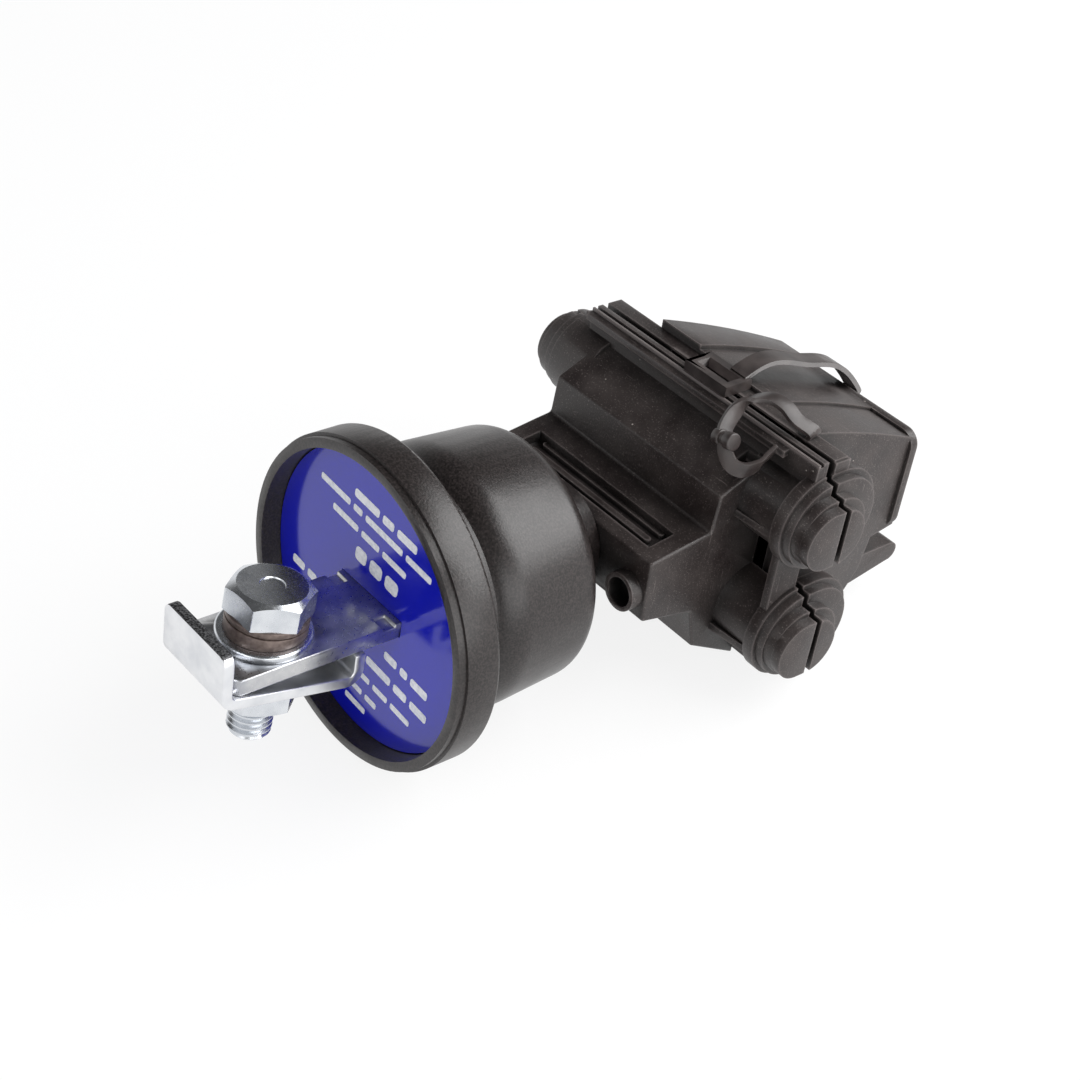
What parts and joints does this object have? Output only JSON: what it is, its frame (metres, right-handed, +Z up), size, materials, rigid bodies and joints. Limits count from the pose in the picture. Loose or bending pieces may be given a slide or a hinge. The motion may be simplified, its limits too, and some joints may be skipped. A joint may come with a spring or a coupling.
{
  "type": "distribution surge arrester",
  "caption": "Low-voltage surge arrester: flanged black housing with blue label face, bolted earth tongue with clamp plate, and a strapped clamshell cover over a two-channel line connector.",
  "frame": {"origin": "where the earth bolt crosses the arrester's axis, inside the earth tongue", "axes": "+Y along the arrester away from its label face, +X along the conductor channels, +Z up through the earth bolt's head"},
  "size_m": [0.0973, 0.1853, 0.08],
  "materials": {
    "housing": "moulded black polymer, fine satin grain",
    "base_disc": "moulded black polymer",
    "label_disc": "glossy deep blue film with plain white bars",
    "earth_tongue": "zinc-plated flat steel, faintly blue",
    "flat_washer": "zinc-plated steel",
    "spring_washer": "dark brown phosphated spring steel",
    "earth_bolt": "bright zinc-plated steel",
    "clamp_plate": "bright zinc-plated pressed steel",
    "clamp_nut": "bright zinc-plated steel",
    "varistor_disc": "dark sintered zinc-oxide ceramic",
    "varistor_sleeve": "cast silicone ring",
    "line_electrode": "turned aluminium",
    "earth_electrode": "turned aluminium",
    "contact_spring": "spring steel",
    "braid_lead": "tinned copper braid, drawn as one round lead",
    "line_stud": "zinc-plated steel",
    "stud_nut": "zinc-plated steel",
    "front_shell": "weatherproof black plastic, warm tone, fine grain",
    "rear_shell": "weatherproof black plastic, warm tone, fine grain",
    "front_jaw": "glass-filled black plastic",
    "rear_jaw": "glass-filled black plastic",
    "contact_bar": "brass bar",
    "contact_blade_left": "tinned copper blade",
    "contact_blade_right": "tinned copper blade",
    "shear_bolt": "zinc-plated steel",
    "shear_bolt_washer": "zinc-plated steel",
    "closing_strap_left": "flexible black plastic strap",
    "closing_strap_right": "flexible black plastic tie"
  },
  "bodies": {
    "root": {"housing": "housing", "base_disc": "base_disc", "label_disc": "label_disc", "earth_tongue": "earth_tongue", "flat_washer": "flat_washer", "spring_washer": "spring_washer", "earth_bolt": "earth_bolt", "clamp_plate": "clamp_plate", "clamp_nut": "clamp_nut", "varistor_disc": "varistor_disc", "varistor_sleeve": "varistor_sleeve", "line_electrode": "line_electrode", "earth_electrode": "earth_electrode", "contact_spring": "contact_spring", "braid_lead": "braid_lead", "line_stud": "line_stud", "stud_nut": "stud_nut", "front_shell": "front_shell", "rear_shell": "rear_shell", "front_jaw": "front_jaw", "rear_jaw": "rear_jaw", "contact_bar": "contact_bar", "contact_blade_left": "contact_blade_left", "contact_blade_right": "contact_blade_right", "shear_bolt": "shear_bolt", "shear_bolt_washer": "shear_bolt_washer", "closing_strap_left": "closing_strap_left", "closing_strap_right": "closing_strap_right"}
  },
  "joints": []
}
